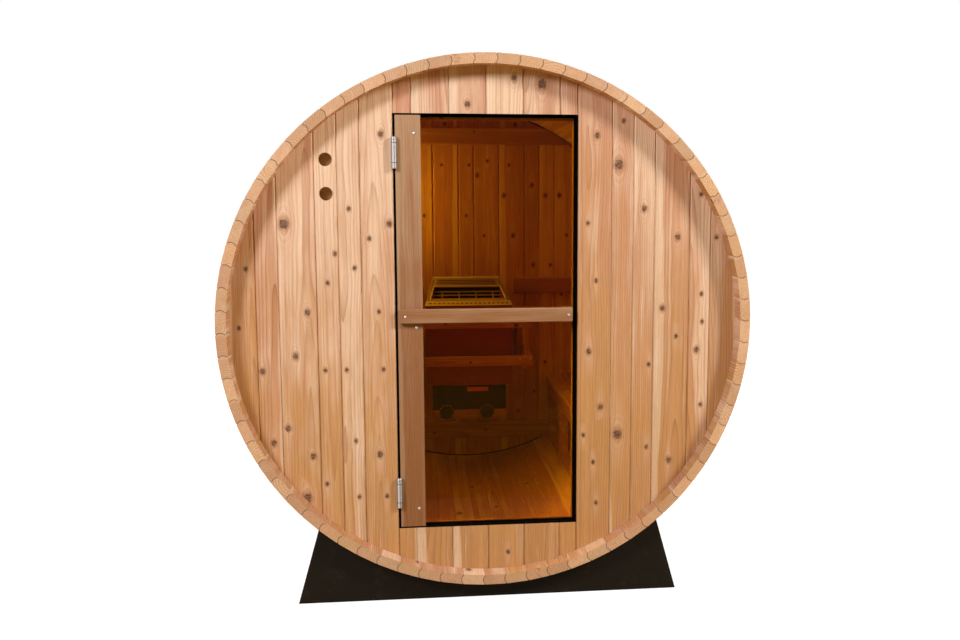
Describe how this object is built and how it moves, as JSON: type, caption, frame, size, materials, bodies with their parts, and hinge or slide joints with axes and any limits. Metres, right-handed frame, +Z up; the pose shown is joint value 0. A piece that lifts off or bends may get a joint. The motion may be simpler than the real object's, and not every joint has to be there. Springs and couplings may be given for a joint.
{
  "type": "barrel sauna",
  "caption": "Cedar barrel sauna on two cradles: stave shell, boarded ends, hinged tinted glass door, benches, wall heater with guard, vents and steel hoops.",
  "frame": {"origin": "on the ground under the middle of the barrel", "axes": "+Z up, -Y towards the door end, +X to the right of someone facing the door"},
  "size_m": [1.8319, 1.8, 1.8934],
  "materials": {
    "stave_cedar": "bare knotty cedar staves, flat sawn, unfinished",
    "wall_cedar": "bare knotty cedar tongue and groove boards",
    "trim_cedar": "bare cedar, planed",
    "door_wood": "straight grained darker cedar, planed",
    "bronze_glass": "bronze tinted tempered glass, polished",
    "gasket": "black rubber strip",
    "stainless": "stainless steel, satin",
    "heater_steel": "polished stainless sheet",
    "heater_enamel": "burgundy enamelled sheet steel",
    "black_enamel": "black enamel, satin",
    "knob_plastic": "dark plastic dial",
    "vent_mesh": "brown insect mesh",
    "cradle_black": "black, matte, a little dusty"
  },
  "bodies": {
    "cabin": {"staves_01": "stave_cedar", "staves_02": "stave_cedar", "staves_03": "stave_cedar", "staves_04": "stave_cedar", "staves_05": "stave_cedar", "staves_06": "stave_cedar", "staves_07": "stave_cedar", "staves_08": "stave_cedar", "staves_09": "stave_cedar", "staves_10": "stave_cedar", "front_wall_left": "wall_cedar", "front_wall_right": "wall_cedar", "front_wall_over_door": "wall_cedar", "front_wall_under_door": "wall_cedar", "back_wall": "wall_cedar", "back_wall_battens": "trim_cedar", "vent_screen": "vent_mesh", "door_casing": "trim_cedar", "door_gasket": "gasket", "hinge_upper_wall_leaf": "stainless", "hinge_upper_pin": "stainless", "hinge_lower_wall_leaf": "stainless", "hinge_lower_pin": "stainless", "heater_body": "heater_enamel", "heater_top": "heater_enamel", "heater_grill": "heater_steel", "heater_control_box": "black_enamel", "heater_knobs": "knob_plastic", "heater_guard": "trim_cedar", "bench_right_seat": "trim_cedar", "bench_right_frame": "trim_cedar", "bench_left_seat": "trim_cedar", "bench_left_frame": "trim_cedar", "cradle_front": "cradle_black", "cradle_rear": "cradle_black", "band_front": "stainless", "band_rear": "stainless"},
    "door": {"door_stile": "door_wood", "door_inner_stile": "door_wood", "door_glass": "bronze_glass", "door_handle_outer": "door_wood", "door_handle_inner": "door_wood", "hinge_upper_door_leaf": "stainless", "hinge_lower_door_leaf": "stainless"}
  },
  "joints": [
    {"name": "door_hinge", "type": "hinge", "parent": "cabin", "child": "door", "pos_m": [-0.3175, -0.8465, 0.9775], "axis": [0, 0, -1], "range_deg": [0, 110]}
  ]
}
